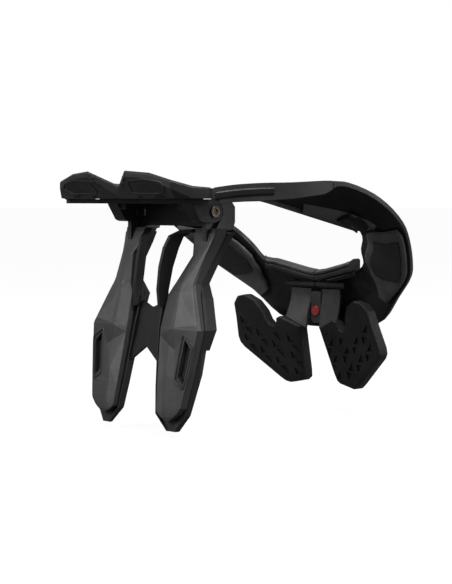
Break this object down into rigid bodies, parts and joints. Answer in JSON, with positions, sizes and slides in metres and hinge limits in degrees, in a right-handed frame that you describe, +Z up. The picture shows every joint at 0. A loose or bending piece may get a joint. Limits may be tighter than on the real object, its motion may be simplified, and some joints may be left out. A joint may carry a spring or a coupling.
{
  "type": "motocross neck brace",
  "caption": "Rigid collar that rests on the shoulders round the neck, with a rear helmet table, paired back struts, front wings and chest pads.",
  "frame": {"origin": "middle of the neck opening, where the brace sits on its wearer", "axes": "+X to the wearer's right, +Y forward, +Z up"},
  "size_m": [0.3056, 0.2864, 0.2194],
  "materials": {
    "chassis": "satin moulded",
    "rim": "satin moulded",
    "strut_grey": "fine satin",
    "rubber": "matte",
    "foam": "matte moulded foam",
    "fabric": "fine mesh",
    "strap": "satin",
    "steel": "brushed",
    "red": "satin"
  },
  "bodies": {
    "frame": {"rear_table": "chassis", "rear_yoke": "chassis", "hinge_pin_right": "steel", "hinge_pin_left": "steel", "side_pin_right": "steel", "side_pin_left": "steel"},
    "back_struts": {"strut_shell_right": "strut_grey", "strut_shell_left": "strut_grey", "strut_slot_right": "rubber", "strut_slot_left": "rubber", "strut_pad_right": "rubber", "strut_pad_left": "rubber", "strut_web": "chassis"},
    "front_right": {"side_shell_right": "rim", "side_plate_right": "chassis", "inner_lip_right": "rim", "brow_block_right": "rubber", "front_wing_right": "chassis", "wing_pad_right": "rim", "wing_mesh_right": "fabric", "collar_pad_right": "rubber", "collar_rail_right": "rim", "strap_bar_right": "chassis", "chest_strap_right": "strap", "chest_pad_right": "foam", "latch_tongue": "chassis"},
    "front_left": {"side_shell_left": "rim", "side_plate_left": "chassis", "inner_lip_left": "rim", "brow_block_left": "rubber", "front_wing_left": "chassis", "wing_pad_left": "rim", "wing_mesh_left": "fabric", "collar_pad_left": "rubber", "collar_rail_left": "rim", "strap_bar_left": "chassis", "chest_strap_left": "strap", "chest_pad_left": "foam", "latch_housing": "strap"},
    "release_button": {"release_button": "red"}
  },
  "joints": [
    {"name": "back_strut_pivot", "type": "hinge", "parent": "frame", "child": "back_struts", "pos_m": [0, -0.088, 0.023], "axis": [1, 0, 0], "range_deg": [-12, 6]},
    {"name": "right_side_hinge", "type": "hinge", "parent": "frame", "child": "front_right", "pos_m": [0.09372, -0.12225, 0.036], "axis": [0, 0, -1], "range_deg": [0, 20]},
    {"name": "left_side_hinge", "type": "hinge", "parent": "frame", "child": "front_left", "pos_m": [-0.09372, -0.12225, 0.036], "axis": [0, 0, 1], "range_deg": [0, 20]},
    {"name": "button_press", "type": "slide", "parent": "front_left", "child": "release_button", "axis": [0, 1, 0], "range_m": [0, 0.0025], "stiffness_N_per_m": 400, "springref_m": -0.001}
  ]
}
